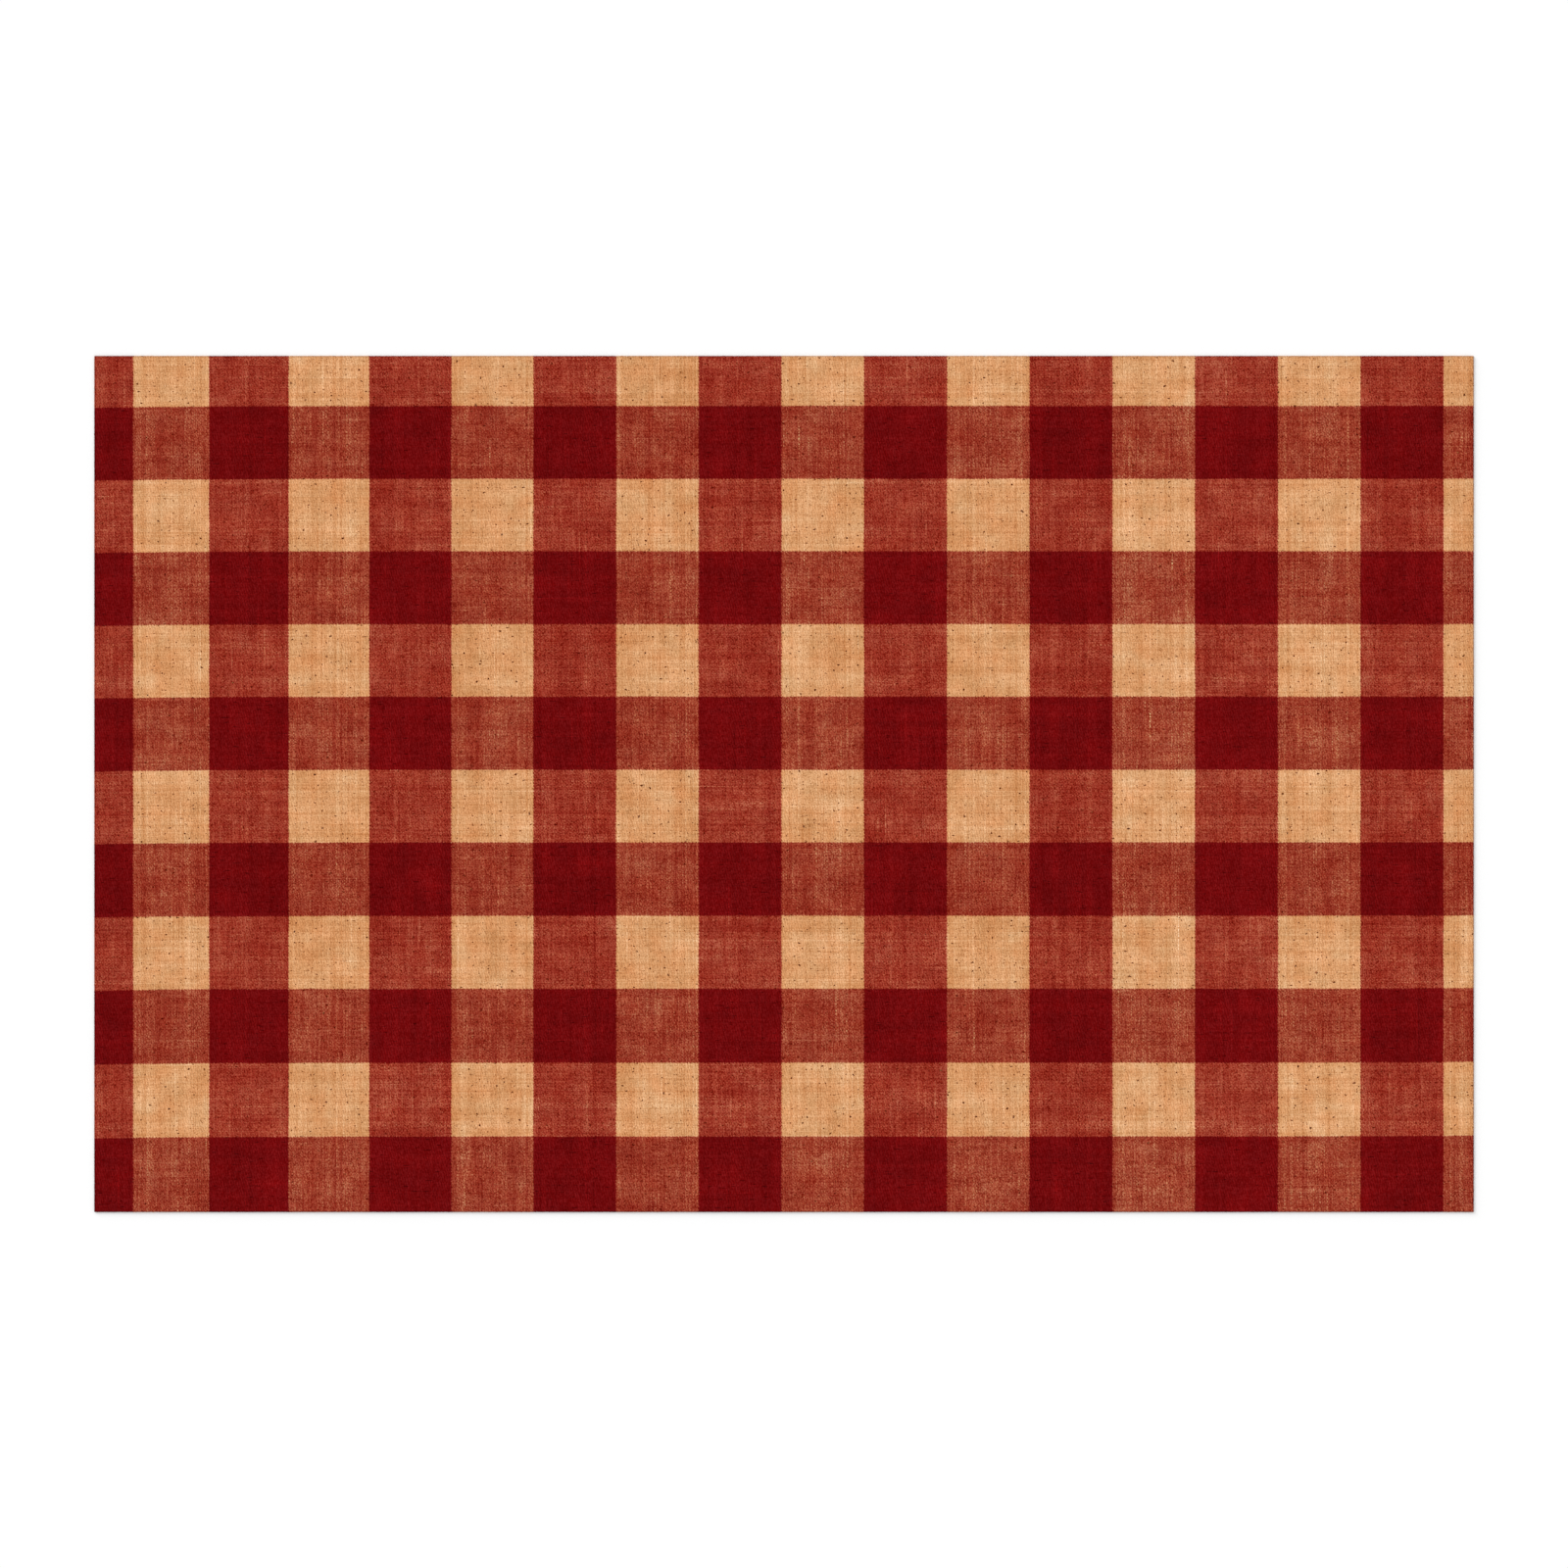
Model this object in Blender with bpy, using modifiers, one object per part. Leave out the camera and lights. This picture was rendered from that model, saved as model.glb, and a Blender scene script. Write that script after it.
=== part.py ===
# Flat cut length of cotton twill, lying face up with its underside at height zero
import bpy

# Driving dimensions, in metres: a 29 by 18 inch cut, a quarter of a yard of 58 inch wide cloth
INCH = 0.0254
CUT_WIDTH = 29 * INCH
CUT_LENGTH = 18 * INCH
THICKNESS = 0.001

# Cut edges are soft rather than sharp
EDGE_ROUND = 0.0003
EDGE_SEGMENTS = 2

# Mean of the red and the cream yarn over the whole check
YARN_COLOUR = (0.370, 0.107, 0.050, 1.0)
YARN_ROUGHNESS = 0.9


def clear_objects():
    for old in list(bpy.data.objects):
        bpy.data.objects.remove(old, do_unlink=True)


def make_collection(name):
    collection = bpy.data.collections.new(name)
    bpy.context.scene.collection.children.link(collection)
    return collection


def move_to(collection, piece):
    for holder in list(piece.users_collection):
        holder.objects.unlink(piece)
    collection.objects.link(piece)


def twill_material():
    material = bpy.data.materials.new("cotton_twill")
    material.use_nodes = True
    shader = material.node_tree.nodes["Principled BSDF"]
    shader.inputs["Base Color"].default_value = YARN_COLOUR
    shader.inputs["Roughness"].default_value = YARN_ROUGHNESS
    shader.inputs["Metallic"].default_value = 0.0
    return material


def soften_edges(sheet):
    bevel = sheet.modifiers.new("soft_edges", "BEVEL")
    bevel.width = EDGE_ROUND
    bevel.segments = EDGE_SEGMENTS
    bevel.limit_method = "ANGLE"


def make_cloth(collection):
    bpy.ops.mesh.primitive_cube_add(size=1.0, location=(0.0, 0.0, THICKNESS / 2))
    sheet = bpy.context.active_object
    sheet.name = "cloth"
    sheet.data.name = "cloth"
    sheet.scale = (CUT_WIDTH, CUT_LENGTH, THICKNESS)
    bpy.ops.object.transform_apply(location=False, rotation=False, scale=True)
    soften_edges(sheet)
    sheet.data.materials.append(twill_material())
    move_to(collection, sheet)
    return sheet


def main():
    clear_objects()
    make_cloth(make_collection("cotton_twill_fabric"))


main()
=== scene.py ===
import math
import random
import bmesh
import bpy
from mathutils import Matrix, Vector, noise


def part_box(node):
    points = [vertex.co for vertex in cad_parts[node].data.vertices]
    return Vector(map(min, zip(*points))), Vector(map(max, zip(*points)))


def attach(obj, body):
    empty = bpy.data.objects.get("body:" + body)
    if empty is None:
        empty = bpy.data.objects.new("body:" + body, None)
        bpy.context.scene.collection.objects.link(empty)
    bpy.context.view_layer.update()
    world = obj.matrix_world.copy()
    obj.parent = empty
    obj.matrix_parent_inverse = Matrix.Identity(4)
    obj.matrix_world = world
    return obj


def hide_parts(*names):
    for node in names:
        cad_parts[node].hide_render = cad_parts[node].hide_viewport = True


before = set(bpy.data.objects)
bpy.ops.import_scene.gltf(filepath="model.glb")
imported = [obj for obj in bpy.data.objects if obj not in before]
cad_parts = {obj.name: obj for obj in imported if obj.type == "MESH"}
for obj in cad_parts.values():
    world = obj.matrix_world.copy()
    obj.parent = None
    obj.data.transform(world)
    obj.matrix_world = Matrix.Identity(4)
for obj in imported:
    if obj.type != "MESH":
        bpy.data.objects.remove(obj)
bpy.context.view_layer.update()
clothLow, clothHigh = (Vector(corner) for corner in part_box("cloth"))
clothWide = clothHigh.x - clothLow.x    # along the weft
clothLong = clothHigh.y - clothLow.y    # along the warp
print("loaded the cloth's frame:", round(clothWide, 4), "by", round(clothLong, 4), "m")


# The check, in metres and yarns: ends run up the cloth, picks run across it
plan = {
    "warpPitch": 0.00047244,      # 54 ends an inch
    "weftPitch": 0.00042785,      # 59 picks an inch
    "redEnds": 94,
    "creamEnds": 93,
    "redPicks": 91,
    "creamPicks": 90,
    "firstEnd": 0.01363,          # the first cream stripe begins this far in from the left cut
    "firstPick": 0.02664,         # the first red band begins this far below the top cut
    "lastPick": -996,             # the last band stays red down to the cut
    "crowding": 0.01013,          # how far the ends are drawn together at the left cut
    "crowdingReach": 0.0628,
    "slack": 0.00404,             # how far the picks open out towards the bottom cut
    "slackReach": 0.1203,
    "leftDip": 0.0010,            # how far the picks sag at the left cut, and rise at the lower right
    "rightLift": 0.0005,
    "dipReach": 0.055,
    "liftBelow": 0.05,            # the rise fades out this far above the cloth's middle
    "wander": 1.3,                # unevenness of the spacing, in yarns
    "wanderSize": (0.004, 0.020),    # across the yarns and along them
    "teeth": 0.45,                # how many yarns a stripe reaches into the next, in turn and at random
    "frayed": 0.5,
}
quarterTurn = math.pi / 2         # four yarns to a repeat of the twill

# How the yarns go over and under, with heights in steps of bumpDepth
twill = {
    "swing": 0.42,                # along the twill line, and along the other diagonal
    "crossSwing": 0.34,
    "drift": 8.0,                 # how far the twill line wanders, in yarns
    "driftSize": 0.005,
    "yarnRound": 0.52,            # a yarn's crown, and how much a fat place adds to it
    "fatRound": 1.2,
    "fatSize": (1 / 3.71, 0.006),    # across in yarns, so that neighbours differ, and along
    "crossing": 0.45,             # softness of one yarn's edge over another
    "bumpDepth": 0.00012,
    "bumpStrength": 0.35,
    "rough": 0.95,
    "crownSmoother": 0.12,
}

# Unevenness of the shade, in steps of depth, with sizes across in yarns and along in metres
shade = {
    "own": 1.5,                   # each yarn's own shade, less in the red ones
    "redOwn": -0.50,
    "streak": 1.5,                # slow change along a yarn
    "streakSize": (1 / 5.37, 0.040),
    "mixedStreak": 2.5,           # quicker, where red crosses cream
    "mixedStreakSize": (1 / 6.21, 0.016),
    "slub": 45.0,                 # now and then a much thicker or thinner length
    "slubSize": (1 / 8.13, 0.050),
    "group": 3.0,                 # neighbouring yarns together
    "groupSize": (14.0, 0.150),
    "stripe": 0.5,                # from one stripe of the check to the next
    "redCoarse": 0.10,            # all of these a little stronger in the red yarns
    "warp": 1.35,                 # warp against weft
    "under": 0.4,                 # share of the lower yarn's shade that shows
    "patch": 4.6,                 # over both yarns, with both sizes in metres
    "patchSize": (0.020, 0.016),
    "thickThin": 1.5,             # fat places less deep, with a quick mottle added in plain red
    "mottle": 2.2,
    "mottleSize": (1 / 3.71, 0.0014),
    "float": 3.8,                 # from one float to the next, less where red crosses cream
    "mixedFloat": -0.85,
    "floatApart": 0.37,           # so that the floats of warp and weft differ
    "crumb": 1.2,                 # specks, fewer in plain red and none where red crosses cream
    "crumbSize": 0.00068,
    "redCrumb": -0.9,
    "mixedCrumb": -1.2,
    "skew": 0.05,                 # dark places stronger than pale ones
    "creamSkew": 0.27,
    "mixedSkew": 0.35,
}

# Dyes of the yarns, linear, and how a coarse and a fine step of depth change them
dye = {
    "cream": (0.667, 0.323, 0.141),
    "red": (0.146, 0.0032, 0.0038),
    "melange": (1.008, 1.30, 0.93),   # cast where red crosses cream
    "bleed": 0.445,               # how much of the lower yarn shows through the upper
    "warpLead": 0.033,            # red ends show more than red picks, and a little paler
    "warpPaler": 0.050,
    "tint": (0.86, 1.08, 1.20),   # slow drift of the hue
    "tintSize": 0.012,
    "creamDeeper": (0.105, 0.058),
    "creamDarker": (0.048, 0.092),
    "redDeeper": (0.0, 0.077),
    "redDarker": (0.130, -0.050),
    "mixedRedder": (0.066, 0.0),
    "mixedDeeper": (0.0, 0.18),
    "mixedDarker": (0.0, 0.05),
    "paintedRibShade": 0.088,                 # painted light and shade in steep ribs, and what the red adds to them
    "redPaintedRibShade": 0.066,
    "ribAcross": 0.001334,        # their spacing sideways and upwards
    "ribUp": 0.00473,
    "fleckDeeper": 1.6,           # flecks in the cream
    "fleckDarker": 1.5,
    "fleckSize": (0.0021, 0.0015),
    "fleckRange": (0.225, 0.318),    # where in the cloud a fleck begins and is full
    "dash": 0.80,                 # blackish dashes along the red picks
    "dashSize": (0.006, 1 / 0.7),    # along in metres, and across in picks
    "dashRange": (0.20, 0.32),
    "paintedCrownLight": 0.28,           # painted light on the crowns of the yarns, painted shade in the hollows between them
    "crownRange": (-0.1, 0.9),
    "evenOut": 0.232,             # takes the mean back to the dyes above
    "paintedCutShade": 0.53,              # painted shade, darker along the cuts, fading within a millimetre
    "cutReach": 0.0010,
}


# Material and node helpers

def newMaterial(name, gloss=0.0):
    material = bpy.data.materials.new(name)
    material.use_nodes = True
    shader = material.node_tree.nodes["Principled BSDF"]
    shader.inputs["Specular IOR Level"].default_value = gloss
    return material, shader


def addNode(tree, kind, **settings):
    node = tree.nodes.new(kind)
    for name, value in settings.items():
        setattr(node, name, value)
    return node


def feed(tree, socket, value):
    if isinstance(value, bpy.types.NodeSocket):
        tree.links.new(value, socket)
    else:
        socket.default_value = value


def calc(tree, operation, *values):
    node = addNode(tree, "ShaderNodeMath", operation=operation)
    for socket, value in zip(node.inputs, values):
        feed(tree, socket, value)
    return node.outputs[0]


def total(tree, *terms, base=0.0):
    value = base
    for part, weight in terms:
        value = calc(tree, "MULTIPLY_ADD", part, weight, value)
    return value


def join(tree, x, y):
    node = addNode(tree, "ShaderNodeCombineXYZ")
    feed(tree, node.inputs[0], x)
    feed(tree, node.inputs[1], y)
    return node.outputs[0]


# A soft random value, with another cloud for each shift
def cloudy(tree, x, y, sizeX, sizeY, detail=1.0, roughness=0.5, shift=0.0):
    node = addNode(tree, "ShaderNodeTexNoise", noise_dimensions="2D")
    place = join(tree, calc(tree, "MULTIPLY_ADD", x, 1 / sizeX, shift), calc(tree, "MULTIPLY", y, 1 / sizeY))
    feed(tree, node.inputs["Vector"], place)
    node.inputs["Scale"].default_value = 1.0
    node.inputs["Detail"].default_value = detail
    node.inputs["Roughness"].default_value = roughness
    return calc(tree, "SUBTRACT", node.outputs["Fac"], 0.5)


# A random value for each whole number, with other values in each row
def scatter(tree, x, row=0.0):
    node = addNode(tree, "ShaderNodeTexWhiteNoise", noise_dimensions="2D")
    feed(tree, node.inputs["Vector"], join(tree, x, row))
    return calc(tree, "SUBTRACT", node.outputs["Value"], 0.5)


def smoothStep(tree, value, low, high):
    node = addNode(tree, "ShaderNodeMapRange", interpolation_type="SMOOTHSTEP")
    feed(tree, node.inputs["Value"], value)
    node.inputs["From Min"].default_value = low
    node.inputs["From Max"].default_value = high
    return node.outputs["Result"]


def pick(tree, warpOnTop, warpValue, weftValue):
    node = addNode(tree, "ShaderNodeMix", data_type="FLOAT")
    feed(tree, node.inputs[0], warpOnTop)
    feed(tree, node.inputs[2], weftValue)
    feed(tree, node.inputs[3], warpValue)
    return node.outputs[0]


def dyeStrength(tree, name, strength):
    node = addNode(tree, "ShaderNodeGamma")
    node.inputs["Color"].default_value = (*dye[name], 1.0)
    feed(tree, node.inputs["Gamma"], strength)
    return node.outputs[0]


def multiplied(tree, first, second):
    node = addNode(tree, "ShaderNodeVectorMath", operation="MULTIPLY")
    feed(tree, node.inputs[0], first)
    feed(tree, node.inputs[1], second)
    return node.outputs[0]


def scaled(tree, colour, amount):
    node = addNode(tree, "ShaderNodeVectorMath", operation="SCALE")
    feed(tree, node.inputs[0], colour)
    feed(tree, node.inputs["Scale"], amount)
    return node.outputs[0]


def raiseBump(tree, shader, height, look):
    bump = addNode(tree, "ShaderNodeBump")
    bump.inputs["Strength"].default_value = look["bumpStrength"]
    bump.inputs["Distance"].default_value = look["bumpDepth"]
    feed(tree, bump.inputs["Height"], height)
    feed(tree, shader.inputs["Normal"], bump.outputs["Normal"])


# The yarns' places: u counts ends from the left, v counts picks upwards, i and j are whole numbers

def fadeFrom(tree, value, edge, reach):
    return calc(tree, "EXPONENT", calc(tree, "MULTIPLY_ADD", value, -1 / reach, edge / reach))


def yarnGrid(tree):
    coords = addNode(tree, "ShaderNodeTexCoord")
    split = addNode(tree, "ShaderNodeSeparateXYZ")
    tree.links.new(coords.outputs["Object"], split.inputs[0])
    x, y, z = split.outputs
    crowd = fadeFrom(tree, x, clothLow.x, plan["crowdingReach"])
    slack = fadeFrom(tree, y, clothLow.y, plan["slackReach"])
    dip = fadeFrom(tree, x, clothLow.x, plan["dipReach"])
    lift = fadeFrom(tree, x, clothHigh.x, -plan["dipReach"])
    lift = calc(tree, "MULTIPLY", lift, smoothStep(tree, y, plan["liftBelow"], clothLow.y))
    across, along = plan["wanderSize"]
    warpShift = cloudy(tree, x, y, across, along, detail=2.0)
    weftShift = cloudy(tree, x, y, along, across, detail=2.0, shift=7.3)
    pitch = plan["warpPitch"]
    u = total(tree, (x, 1 / pitch), (crowd, -plan["crowding"] / pitch), (warpShift, plan["wander"]),
              base=-(clothLow.x + plan["firstEnd"]) / pitch)
    pitch = plan["weftPitch"]
    v = total(tree, (y, 1 / pitch), (slack, plan["slack"] / pitch), (dip, plan["leftDip"] / pitch),
              (lift, -plan["rightLift"] / pitch), (weftShift, plan["wander"]),
              base=(plan["firstPick"] - clothHigh.y) / pitch)
    i = calc(tree, "FLOOR", u)
    j = calc(tree, "FLOOR", v)

    # red or cream, with ragged teeth where a stripe meets the next
    tooth = calc(tree, "SINE", calc(tree, "MULTIPLY", calc(tree, "ADD", i, j), quarterTurn))
    end = total(tree, (tooth, plan["teeth"]), (scatter(tree, j, row=0.6), plan["frayed"]), base=u)
    warpPlace = calc(tree, "FLOORED_MODULO", calc(tree, "FLOOR", end), plan["redEnds"] + plan["creamEnds"])
    pickUp = total(tree, (tooth, plan["teeth"]), (scatter(tree, i, row=0.6), plan["frayed"]), base=v)
    lastBand = calc(tree, "MAXIMUM", calc(tree, "FLOOR", pickUp), plan["lastPick"])
    weftPlace = calc(tree, "FLOORED_MODULO", lastBand, plan["redPicks"] + plan["creamPicks"])
    warpRed = calc(tree, "GREATER_THAN", warpPlace, plan["creamEnds"] - 0.5)
    weftRed = calc(tree, "GREATER_THAN", weftPlace, plan["creamPicks"] - 0.5)
    return {"x": x, "y": y, "z": z, "u": u, "v": v, "i": i, "j": j, "warpRed": warpRed, "weftRed": weftRed}


def twillRelief(tree, grid):
    x, y, u, v, i, j = (grid[name] for name in ("x", "y", "u", "v", "i", "j"))
    onFace = calc(tree, "GREATER_THAN", grid["z"], clothHigh.z / 2)
    side = calc(tree, "MULTIPLY_ADD", onFace, 2.0, -1.0)    # 1 on the face, -1 on the back
    size = twill["driftSize"]
    drift = calc(tree, "MULTIPLY", cloudy(tree, x, y, size, size, detail=2.0, shift=1.7), twill["drift"])
    crossDrift = calc(tree, "MULTIPLY", cloudy(tree, x, y, size, size, detail=2.0, shift=4.9), twill["drift"])

    def wave(count, shift):
        return calc(tree, "SINE", calc(tree, "MULTIPLY", calc(tree, "ADD", count, shift), quarterTurn))

    def swingOf(along, against):
        line, cross = wave(along, drift), wave(against, crossDrift)
        return calc(tree, "MULTIPLY", total(tree, (line, twill["swing"]), (cross, twill["crossSwing"])), side)

    def crown(position, index, fat):    # highest along the middle of the yarn, none at its sides
        across = calc(tree, "SUBTRACT", calc(tree, "SUBTRACT", position, index), 0.5)
        bulge = calc(tree, "MULTIPLY_ADD", calc(tree, "MULTIPLY", across, across), -4.0, 1.0)
        most = calc(tree, "MULTIPLY_ADD", fat, twill["fatRound"], twill["yarnRound"])
        return calc(tree, "MULTIPLY", bulge, most)

    across, reach = twill["fatSize"]
    warpFat = cloudy(tree, i, y, across, reach, detail=2.0)
    weftFat = cloudy(tree, x, j, reach, across, detail=2.0)
    warpSwing = swingOf(calc(tree, "ADD", i, v), calc(tree, "ADD", calc(tree, "SUBTRACT", i, v), 1.0))
    weftSwing = swingOf(calc(tree, "ADD", u, j), calc(tree, "SUBTRACT", u, j))
    warpHeight = calc(tree, "ADD", crown(u, i, warpFat), warpSwing)
    weftHeight = calc(tree, "SUBTRACT", crown(v, j, weftFat), weftSwing)
    lead = calc(tree, "SUBTRACT", warpHeight, weftHeight)
    warpOnTop = smoothStep(tree, lead, -twill["crossing"], twill["crossing"])
    return {"warpOnTop": warpOnTop, "height": calc(tree, "MAXIMUM", warpHeight, weftHeight),
            "fat": pick(tree, warpOnTop, warpFat, weftFat)}


# Coarse shade: each yarn's own, streaks and slubs along it, groups and stripes of yarns, and patches

def coarseShade(tree, grid, warpOnTop, melange):
    def streaks(index, position, along, red, flip):
        def field(across, size, detail, roughness=0.5):
            if flip:
                return cloudy(tree, along, across, size[1], size[0], detail, roughness)
            return cloudy(tree, across, along, size[0], size[1], detail, roughness)

        ownWeight = calc(tree, "MULTIPLY_ADD", red, shade["redOwn"], shade["own"])
        own = calc(tree, "MULTIPLY", scatter(tree, index), ownWeight)
        quick = calc(tree, "MULTIPLY", field(index, shade["mixedStreakSize"], detail=1.0), melange)
        slow = field(index, shade["streakSize"], detail=2.0)
        slub = field(index, shade["slubSize"], detail=1.0)
        slub = calc(tree, "MULTIPLY", slub, calc(tree, "MULTIPLY", slub, slub))
        group = field(position, shade["groupSize"], detail=4.0, roughness=0.62)
        stripe = calc(tree, "FLOOR", calc(tree, "MULTIPLY", index, 1 / plan["redEnds"]))
        stripe = scatter(tree, stripe, row=3.0)
        terms = total(tree, (own, 1.0), (slow, shade["streak"]), (quick, shade["mixedStreak"]),
                      (slub, shade["slub"]), (group, shade["group"]), (stripe, shade["stripe"]))
        return calc(tree, "MULTIPLY", terms, calc(tree, "MULTIPLY_ADD", red, shade["redCoarse"], 1.0))

    warp = streaks(grid["i"], grid["u"], grid["y"], grid["warpRed"], False)
    warp = calc(tree, "MULTIPLY", warp, shade["warp"])
    weft = streaks(grid["j"], grid["v"], grid["x"], grid["weftRed"], True)
    patch = cloudy(tree, grid["x"], grid["y"], *shade["patchSize"], detail=5.0, roughness=0.55, shift=8.1)
    top, under = pick(tree, warpOnTop, warp, weft), pick(tree, warpOnTop, weft, warp)
    return total(tree, (top, 1.0), (under, shade["under"]), (patch, shade["patch"]))


# Fine shade: fat places, one float of a yarn against the next, and crumbs in the plain squares

def fineShade(tree, grid, relief, melange, plainCream, plainRed):
    i, j, v = grid["i"], grid["j"], grid["v"]
    pair = calc(tree, "FLOOR", calc(tree, "MULTIPLY", calc(tree, "ADD", v, i), 0.5))    # over two picks
    warpFloat = scatter(tree, i, row=pair)
    weftFloat = scatter(tree, calc(tree, "ADD", i, shade["floatApart"]), row=j)
    floats = pick(tree, calc(tree, "MAXIMUM", relief["warpOnTop"], plainRed), warpFloat, weftFloat)
    crumb = cloudy(tree, grid["x"], grid["y"], shade["crumbSize"], shade["crumbSize"], detail=0.0, shift=3.1)
    floatWeight = calc(tree, "MULTIPLY_ADD", melange, shade["mixedFloat"], shade["float"])
    crumbWeight = total(tree, (melange, shade["mixedCrumb"]), (plainRed, shade["redCrumb"]),
                        base=shade["crumb"])
    mottle = cloudy(tree, i, grid["y"], *shade["mottleSize"], shift=6.1)
    mottle = calc(tree, "MULTIPLY", mottle, plainRed)
    fine = total(tree, (relief["fat"], -shade["thickThin"]), (mottle, shade["mottle"]),
                 (floats, floatWeight), (crumb, crumbWeight))
    skew = total(tree, (plainCream, shade["creamSkew"]), (melange, shade["mixedSkew"]), base=shade["skew"])
    return calc(tree, "MULTIPLY_ADD", calc(tree, "MULTIPLY", fine, fine), skew, fine)


# Painted shade along the cut edges, strongest at the cut and gone a millimetre in
def paintedCutShade(tree, x, y):
    fromSide = calc(tree, "SUBTRACT", clothHigh.x, calc(tree, "ABSOLUTE", x))
    fromEnd = calc(tree, "SUBTRACT", clothHigh.y, calc(tree, "ABSOLUTE", y))
    return smoothStep(tree, calc(tree, "MINIMUM", fromSide, fromEnd), dye["cutReach"], 0.0)


def checkedTwill():
    print("weaving the checked twill")
    material, shader = newMaterial("checked cotton twill")
    tree = material.node_tree
    grid = yarnGrid(tree)
    relief = twillRelief(tree, grid)
    warpRed, weftRed, x, y = grid["warpRed"], grid["weftRed"], grid["x"], grid["y"]

    # plain cream, plain red, or red crossing cream
    anyRed = calc(tree, "MAXIMUM", warpRed, weftRed)
    plainRed = calc(tree, "MINIMUM", warpRed, weftRed)
    melange = calc(tree, "SUBTRACT", anyRed, plainRed)
    plainCream = calc(tree, "SUBTRACT", 1.0, anyRed)
    warpLead = calc(tree, "SUBTRACT", warpRed, weftRed)
    topRed = pick(tree, relief["warpOnTop"], warpRed, weftRed)
    underRed = pick(tree, relief["warpOnTop"], weftRed, warpRed)
    redShare = total(tree, (topRed, 1.0 - dye["bleed"]), (underRed, dye["bleed"]),
                     (warpLead, dye["warpLead"]))

    # how strong each dye is, and how pale the whole
    coarse = coarseShade(tree, grid, relief["warpOnTop"], melange)
    fine = fineShade(tree, grid, relief, melange, plainCream, plainRed)

    def steps(name, sign=1.0):
        return total(tree, (coarse, sign * dye[name][0]), (fine, sign * dye[name][1]))

    redStrength = total(tree, (steps("redDeeper"), anyRed), (steps("mixedRedder"), melange), base=redShare)
    creamStrength = total(tree, (steps("creamDeeper"), plainCream), (steps("mixedDeeper"), melange),
                          base=calc(tree, "SUBTRACT", 1.0, redShare))
    paler = total(tree, (steps("creamDarker", -1.0), plainCream), (steps("mixedDarker", -1.0), melange),
                  (steps("redDarker", -1.0), plainRed))

    # steep ribs as painted light and shade, dark flecks of husk, blackish dashes, painted light on the
    # crowns, and painted shade along the cuts
    # the ribs' relief is painted as paler and darker steep stripes in the colour
    ribPhase = total(tree, (x, 2 * math.pi / dye["ribAcross"]), (y, 2 * math.pi / dye["ribUp"]))
    paintedRibShadeDepth = calc(tree, "MULTIPLY_ADD", redShare, dye["redPaintedRibShade"], dye["paintedRibShade"])
    fleck = smoothStep(tree, cloudy(tree, x, y, *dye["fleckSize"], shift=5.7), *dye["fleckRange"])
    fleck = calc(tree, "MULTIPLY", fleck, calc(tree, "SUBTRACT", 1.0, redShare))
    dash = smoothStep(tree, cloudy(tree, x, grid["j"], *dye["dashSize"], shift=2.2), *dye["dashRange"])
    dash = calc(tree, "MULTIPLY", dash, calc(tree, "MULTIPLY", redShare, redShare))
    # how high the yarn stands: painted light on the crowns, and a smoother finish there
    crownPaintedLitAndSmooth = smoothStep(tree, relief["height"], *dye["crownRange"])
    creamStrength = calc(tree, "MULTIPLY_ADD", fleck, dye["fleckDeeper"], creamStrength)
    paler = total(tree, (calc(tree, "SINE", ribPhase), paintedRibShadeDepth), (fleck, -dye["fleckDarker"]),
                  (dash, -dye["dash"]), (paintedCutShade(tree, x, y), -dye["paintedCutShade"]),
                  (crownPaintedLitAndSmooth, dye["paintedCrownLight"]), (warpLead, dye["warpPaler"]),
                  base=calc(tree, "SUBTRACT", paler, dye["evenOut"]))

    hue = cloudy(tree, x, y, dye["tintSize"], dye["tintSize"], detail=2.0, shift=9.4)
    colour = dyeStrength(tree, "cream", creamStrength)
    for name, strength in (("red", redStrength), ("melange", melange), ("tint", hue)):
        colour = multiplied(tree, colour, dyeStrength(tree, name, strength))
    feed(tree, shader.inputs["Base Color"], scaled(tree, colour, calc(tree, "EXPONENT", paler)))
    roughness = calc(tree, "MULTIPLY_ADD", crownPaintedLitAndSmooth, -twill["crownSmoother"], twill["rough"])
    feed(tree, shader.inputs["Roughness"], roughness)
    raiseBump(tree, shader, relief["height"], twill)
    return material


# The cloth: a thin closed sheet, flat underneath and faintly uneven on its face

clothSheet = {
    "cell": 0.004,
    "unevenness": 0.00012,
    "waveSize": 0.030,
    "rimRound": 0.00025,
    "rimAngle": 1.0,              # only the edges of the sheet turn more than this, in radians
    "inset": 0.0001,              # the sheet stops short of the cut ends
    "sharpAngle": 12.0,           # in degrees
}


def faceHeight(x, y):
    wave = noise.noise(Vector((x, y, 0.0)) / clothSheet["waveSize"])
    return clothHigh.z + clothSheet["unevenness"] * (0.5 * wave - 0.5)


def finishPiece(bm, name, material, smooth=True):
    mesh = bpy.data.meshes.new(name)
    bm.to_mesh(mesh)
    bm.free()
    if smooth:
        mesh.shade_smooth()
    mesh.materials.append(material)
    piece = bpy.data.objects.new(name, mesh)
    bpy.context.scene.collection.objects.link(piece)
    return piece


def fixOrder(elements, placeOf):    # a bevel leaves its corners in any order
    for number, element in enumerate(sorted(elements, key=placeOf)):
        element.index = number
    elements.sort()


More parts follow.
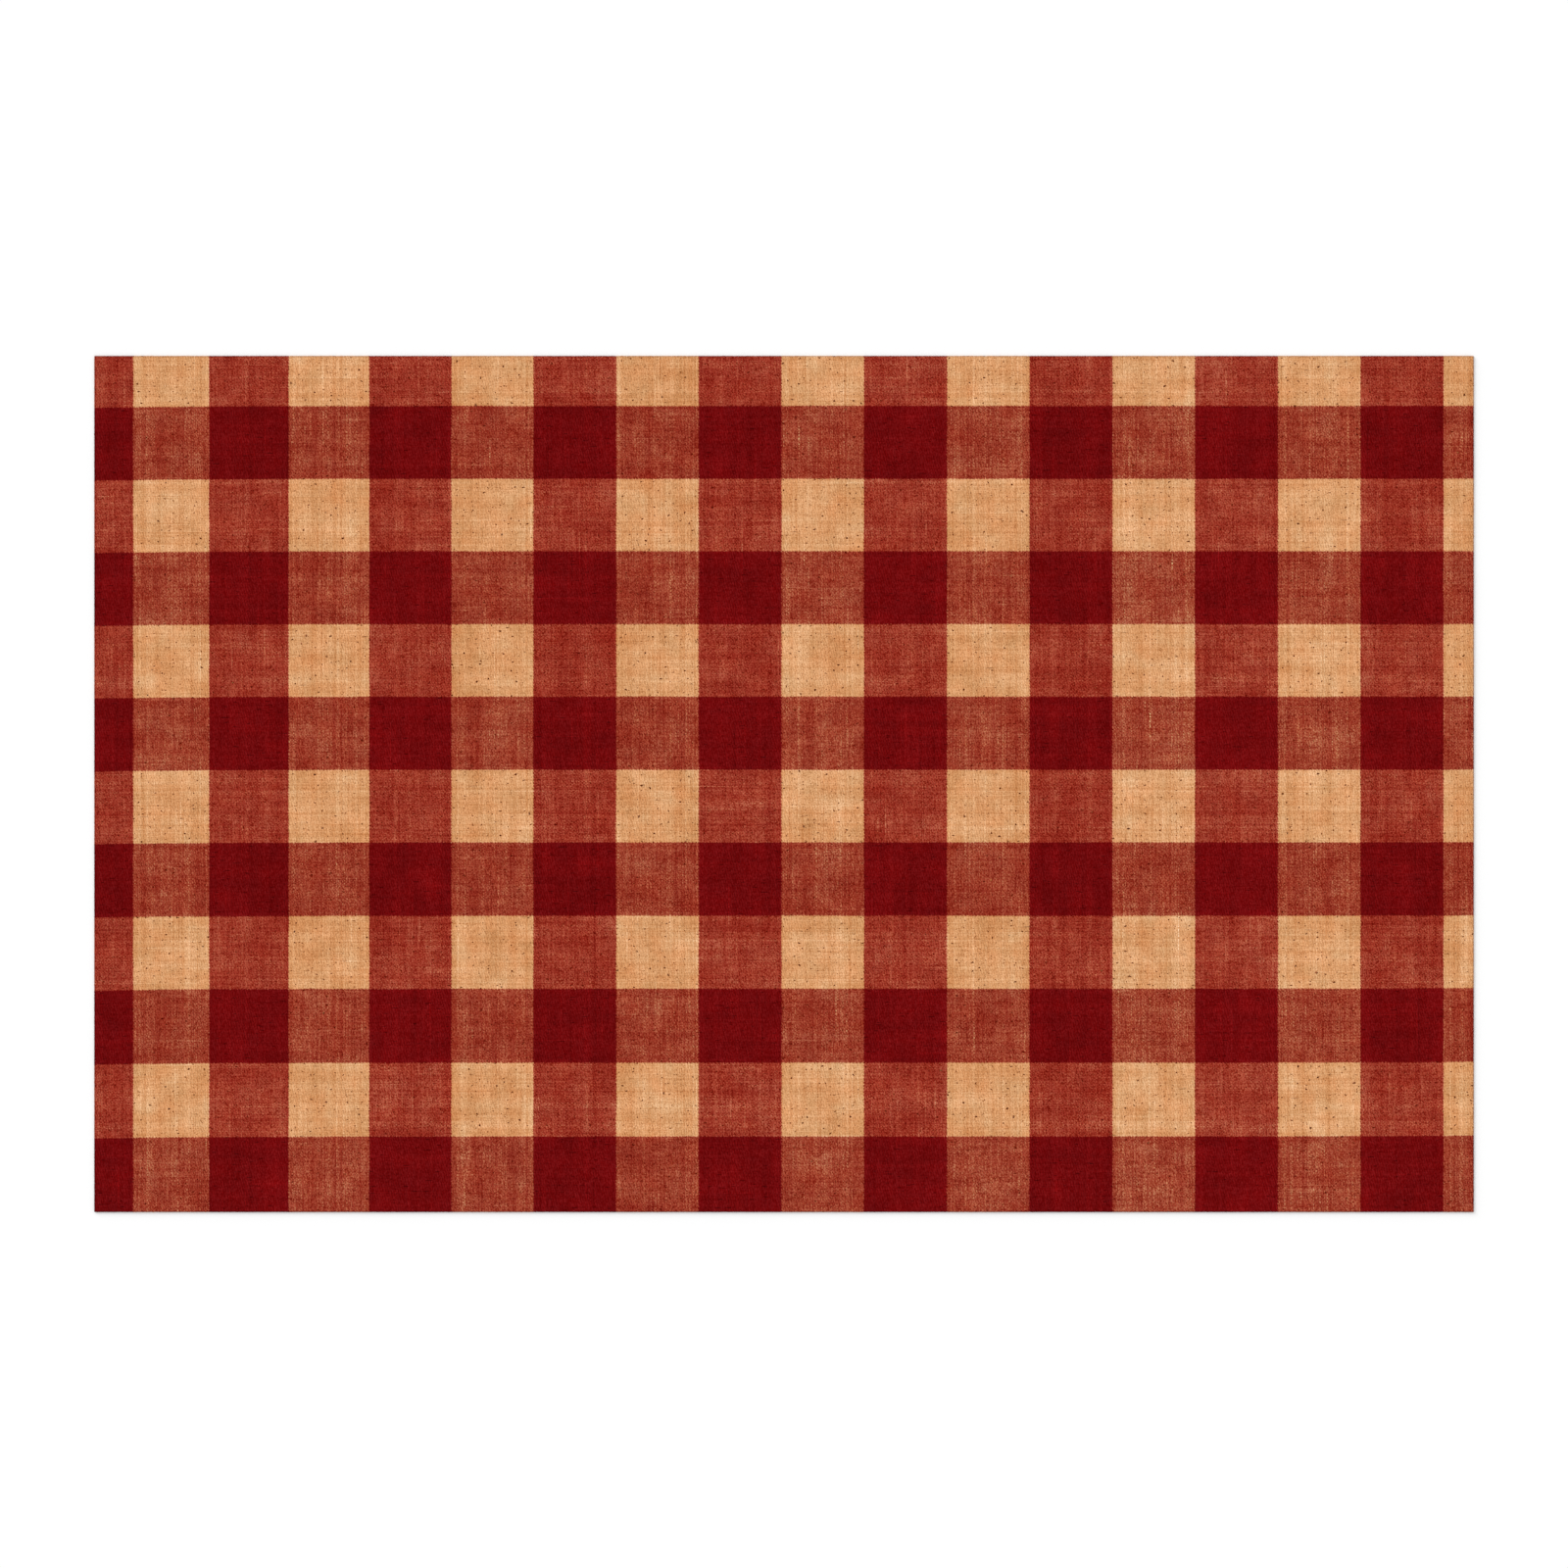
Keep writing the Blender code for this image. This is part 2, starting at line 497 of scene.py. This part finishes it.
def makeClothSheet(material):
    print("laying the cloth sheet")
    bm = bmesh.new()
    across = round(clothWide / clothSheet["cell"])
    along = round(clothLong / clothSheet["cell"])
    bmesh.ops.create_grid(bm, x_segments=across, y_segments=along, size=0.5)
    inset = 2 * clothSheet["inset"]
    bmesh.ops.scale(bm, vec=(clothWide - inset, clothLong - inset, 1.0), verts=bm.verts)
    raised = bmesh.ops.extrude_face_region(bm, geom=bm.faces[:])
    face = [part for part in raised["geom"] if isinstance(part, bmesh.types.BMVert)]
    for vert in face:
        vert.co.z = faceHeight(vert.co.x, vert.co.y)
    bmesh.ops.recalc_face_normals(bm, faces=bm.faces[:])
    rim = [edge for edge in bm.edges if edge.calc_face_angle() > clothSheet["rimAngle"]]
    bmesh.ops.bevel(bm, geom=rim, offset=clothSheet["rimRound"], offset_type="OFFSET", affect="EDGES",
                    segments=2, profile=0.5, clamp_overlap=True, material=-1)
    fixOrder(bm.verts, lambda vert: vert.co.to_tuple(6))
    fixOrder(bm.faces, lambda face: face.calc_center_median().to_tuple(6))
    sheet = finishPiece(bm, "cloth_sheet", material)
    sheet.data.set_sharp_from_angle(angle=math.radians(clothSheet["sharpAngle"]))
    return sheet


# Cut yarn ends along the four raw edges

cutEnds = {
    "sides": 6,
    "thick": 0.00036,
    "tip": 0.36,                  # radius of the cut tip, as a share of the thickness
    "long": 0.0012,
    "proud": (-0.0001, 0.00006),  # how far an end stands out of the edge
    "swing": 0.00018,             # up and down, as the yarns weave
    "turns": 12,                  # of working out where a yarn settles
    "fibreSize": 0.00012,
    "fibreShade": 0.9,
    "patchSize": 0.003,
    "patchShade": 1.1,
    "paintedEndShade": 0.22,               # painted shade on a cut end against the face
    "rough": 0.92,
    "fibreRough": 0.10,
    "bumpStrength": 0.5,
    "bumpDepth": 0.00004,
    "seed": 7,
}


# A yarn's distance from the cut, near which the yarns lie closer together or further apart
def settled(target, pull, reach):
    place = target
    for turn in range(cutEnds["turns"]):
        place = target + pull * math.exp(-max(place, 0.0) / reach)
    return place


def placeOfEnd(number):
    target = plan["firstEnd"] + plan["warpPitch"] * (number + 0.5)
    return clothLow.x + settled(target, plan["crowding"], plan["crowdingReach"])


def placeOfPick(number):
    target = clothLong - plan["firstPick"] + plan["weftPitch"] * (number + 0.5)
    return clothLow.y + settled(target, -plan["slack"], plan["slackReach"])


def cutEndYarn(name, redName):
    material, shader = newMaterial(name)
    tree = material.node_tree
    grid = yarnGrid(tree)
    red = grid[redName]
    small, large = cutEnds["fibreSize"], cutEnds["patchSize"]
    fibre = cloudy(tree, grid["x"], grid["y"], small, small, detail=2.0, roughness=0.6)
    patch = cloudy(tree, grid["x"], grid["y"], large, large, detail=2.0)
    # painted shade over the whole cut end, with paler and darker fibres and patches
    paler = total(tree, (fibre, cutEnds["fibreShade"]), (patch, cutEnds["patchShade"]),
                  base=-cutEnds["paintedEndShade"])
    cream = calc(tree, "SUBTRACT", 1.0, red)
    colour = multiplied(tree, dyeStrength(tree, "cream", cream), dyeStrength(tree, "red", red))
    feed(tree, shader.inputs["Base Color"], scaled(tree, colour, calc(tree, "EXPONENT", paler)))
    roughness = calc(tree, "MULTIPLY_ADD", fibre, cutEnds["fibreRough"], cutEnds["rough"])
    feed(tree, shader.inputs["Roughness"], roughness)
    raiseBump(tree, shader, fibre, cutEnds)
    return material


def rowOfEnds(bm, places, pitch, edge, turn):
    chance = random.Random(cutEnds["seed"] + round(turn))
    proud = [chance.uniform(*cutEnds["proud"]) for place in places]
    row = bmesh.new()
    lying = Matrix.Rotation(math.radians(-90), 4, "X")
    bmesh.ops.create_cone(row, cap_ends=True, segments=cutEnds["sides"], radius1=cutEnds["thick"] / 2,
                          radius2=cutEnds["thick"] * cutEnds["tip"], depth=cutEnds["long"], matrix=lying)
    block = math.ceil(math.sqrt(len(places)))    # copied along a block, then the block along the row
    for step in (pitch, pitch * block):
        bmesh.ops.spin(row, geom=row.verts[:] + row.edges[:] + row.faces[:], cent=(0, 0, 0), axis=(0, 0, 1),
                       dvec=(step, 0, 0), angle=0.0, steps=block - 1, use_duplicate=True)
    spare = [vert for vert in row.verts if round(vert.co.x / pitch) >= len(places)]
    bmesh.ops.delete(row, geom=spare, context="VERTS")
    for vert in row.verts:
        number = round(vert.co.x / pitch)
        vert.co.x += places[number] - number * pitch
        vert.co.y += edge + proud[number] - cutEnds["long"] / 2
        vert.co.z += clothHigh.z / 2 + cutEnds["swing"] * math.sin(quarterTurn * (number + 0.5))
    bmesh.ops.rotate(row, verts=row.verts, cent=(0, 0, 0), matrix=Matrix.Rotation(math.radians(turn), 3, "Z"))
    rowMesh = bpy.data.meshes.new("row")
    row.to_mesh(rowMesh)
    row.free()
    bm.from_mesh(rowMesh)
    bpy.data.meshes.remove(rowMesh)


def makeCutEnds(name, placeOf, pitch, low, high, edge, turns, material):
    most = round(clothWide / pitch)
    places = sorted(placeOf(number) for number in range(-most, most))
    places = [place for place in places if low + pitch / 2 < place < high - pitch / 2]
    print("cutting", len(places), "yarns for", name)
    bm = bmesh.new()
    rowOfEnds(bm, places, pitch, edge, turns[0])
    rowOfEnds(bm, [-place for place in reversed(places)], pitch, edge, turns[1])
    return finishPiece(bm, name, material)


# Dark bits of husk caught in the yarns, mostly seen on the cream

husks = {
    "count": 440,
    "brown": (0.185, 0.055, 0.018),
    "size": (0.0004, 0.0012),
    "stretch": (0.8, 1.8),
    "fibreShare": 0.07,           # a few are fibres lying along a pick
    "fibreLength": (0.002, 0.006),
    "fibreWide": 0.00022,
    "turn": 0.3,                  # how far a bit and a fibre lie off the yarns, in radians
    "fibreTurn": 0.05,
    "within": 0.995,              # of the cloth's half width and half length
    "height": 0.00008,
    "seen": {0: 1.0, 1: 0.10, 2: 0.0},   # kept on cream, where red crosses cream, and on red
    "crustSize": 0.0009,
    "crustShade": 1.6,
    "patchSize": 0.012,
    "patchShade": 2.6,
    "rough": 0.8,
    "crustRough": 0.2,
    "gloss": 0.1,
    "bumpStrength": 0.5,
    "bumpDepth": 0.00004,
    "seed": 11,
}


def redYarnsAt(x, y):    # how many of the two yarns are red
    crowd = plan["crowding"] * math.exp((clothLow.x - x) / plan["crowdingReach"])
    slack = plan["slack"] * math.exp((clothLow.y - y) / plan["slackReach"])
    u = (x - clothLow.x - plan["firstEnd"] - crowd) / plan["warpPitch"]
    v = (y - clothHigh.y + plan["firstPick"] + slack) / plan["weftPitch"]
    warpRed = math.floor(u) % (plan["redEnds"] + plan["creamEnds"]) >= plan["creamEnds"]
    weftRed = math.floor(v) % (plan["redPicks"] + plan["creamPicks"]) >= plan["creamPicks"]
    return warpRed + weftRed


def huskBrown():
    material, shader = newMaterial("cotton husk", gloss=husks["gloss"])
    tree = material.node_tree
    grid = yarnGrid(tree)
    small, large = husks["crustSize"], husks["patchSize"]
    crust = cloudy(tree, grid["x"], grid["y"], small, small, detail=2.0, roughness=0.6)
    patch = cloudy(tree, grid["x"], grid["y"], large, large, shift=3.0)
    paler = total(tree, (crust, husks["crustShade"]), (patch, husks["patchShade"]))
    feed(tree, shader.inputs["Base Color"], scaled(tree, husks["brown"], calc(tree, "EXPONENT", paler)))
    roughness = calc(tree, "MULTIPLY_ADD", crust, husks["crustRough"], husks["rough"])
    feed(tree, shader.inputs["Roughness"], roughness)
    raiseBump(tree, shader, crust, husks)
    return material


def makeHusks(material):
    chance = random.Random(husks["seed"])
    bm = bmesh.new()
    placed = 0
    while placed < husks["count"]:
        x = chance.uniform(clothLow.x, clothHigh.x) * husks["within"]
        y = chance.uniform(clothLow.y, clothHigh.y) * husks["within"]
        small, large = husks["size"]
        size = small + (large - small) * chance.random() ** 3    # most are small
        length = size * chance.uniform(*husks["stretch"])
        turn = chance.choice((0.0, math.pi / 2)) + chance.uniform(-husks["turn"], husks["turn"])
        if chance.random() < husks["fibreShare"]:
            size = husks["fibreWide"]
            length = chance.uniform(*husks["fibreLength"])
            turn = chance.uniform(-husks["fibreTurn"], husks["fibreTurn"])
        if chance.random() > husks["seen"][redYarnsAt(x, y)]:
            continue
        place = Matrix.Translation((x, y, faceHeight(x, y))) @ Matrix.Rotation(turn, 4, "Z")
        shape = Matrix.Diagonal((length, size, husks["height"] * 2, 1.0))
        bmesh.ops.create_icosphere(bm, subdivisions=1, radius=0.5, matrix=place @ shape)
        placed += 1
    print("scattered", placed, "bits of husk")
    return finishPiece(bm, "husk_flecks", material)


# A plain pale table, soft light and a camera straight above

studio = {
    "table": 0.926,
    "tableHalf": 20.0,            # its far edge stays out of low views
    "dome": 0.82,
    "sun": 2.60,
    "sunSoftness": 40.0,
    "sunTilt": 71.0,
    "sunTurn": 45.0,
    "lens": 100.0,
    "sensor": 36.0,
    "clothShare": 1408 / 1600,    # of the picture's width
}


def makeTable():
    bm = bmesh.new()
    bmesh.ops.create_grid(bm, x_segments=1, y_segments=1, size=studio["tableHalf"])
    white, shader = newMaterial("white table")
    shader.inputs["Base Color"].default_value = (studio["table"], studio["table"], studio["table"], 1.0)
    shader.inputs["Roughness"].default_value = 1.0
    finishPiece(bm, "table_top", white, smooth=False)


def lightStudio():
    world = bpy.data.worlds.new("soft dome")
    world.use_nodes = True
    sky = world.node_tree.nodes["Background"]
    sky.inputs["Color"].default_value = (1.0, 1.0, 1.0, 1.0)
    sky.inputs["Strength"].default_value = studio["dome"]
    bpy.context.scene.world = world
    lamp = bpy.data.lights.new("window light", "SUN")
    lamp.energy = studio["sun"]
    lamp.angle = math.radians(studio["sunSoftness"])
    window = bpy.data.objects.new("window light", lamp)
    window.rotation_euler = (math.radians(-studio["sunTilt"]), 0.0, math.radians(studio["sunTurn"]))
    bpy.context.scene.collection.objects.link(window)


def setCamera():
    lens = bpy.data.cameras.new("camera")
    lens.lens = studio["lens"]
    lens.sensor_width = studio["sensor"]
    camera = bpy.data.objects.new("camera", lens)
    frameWide = clothWide / studio["clothShare"]
    camera.location = (0.0, 0.0, clothHigh.z + frameWide * studio["lens"] / studio["sensor"])
    bpy.context.scene.collection.objects.link(camera)
    bpy.context.scene.camera = camera
    bpy.context.scene.view_settings.view_transform = "Standard"


print("setting up the table, light and camera")
setCamera()
lightStudio()
makeTable()

sheet = makeClothSheet(checkedTwill())
warpEnds = makeCutEnds("warp_ends", placeOfEnd, plan["warpPitch"], clothLow.x, clothHigh.x, clothHigh.y,
                       (0.0, 180.0), cutEndYarn("cut warp yarn", "warpRed"))
weftEnds = makeCutEnds("weft_ends", placeOfPick, plan["weftPitch"], clothLow.y, clothHigh.y, clothHigh.x,
                       (90.0, -90.0), cutEndYarn("cut weft yarn", "weftRed"))
huskFlecks = makeHusks(huskBrown())

for piece in (sheet, warpEnds, weftEnds, huskFlecks):
    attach(piece, "root")
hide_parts("cloth")

print("finishing")
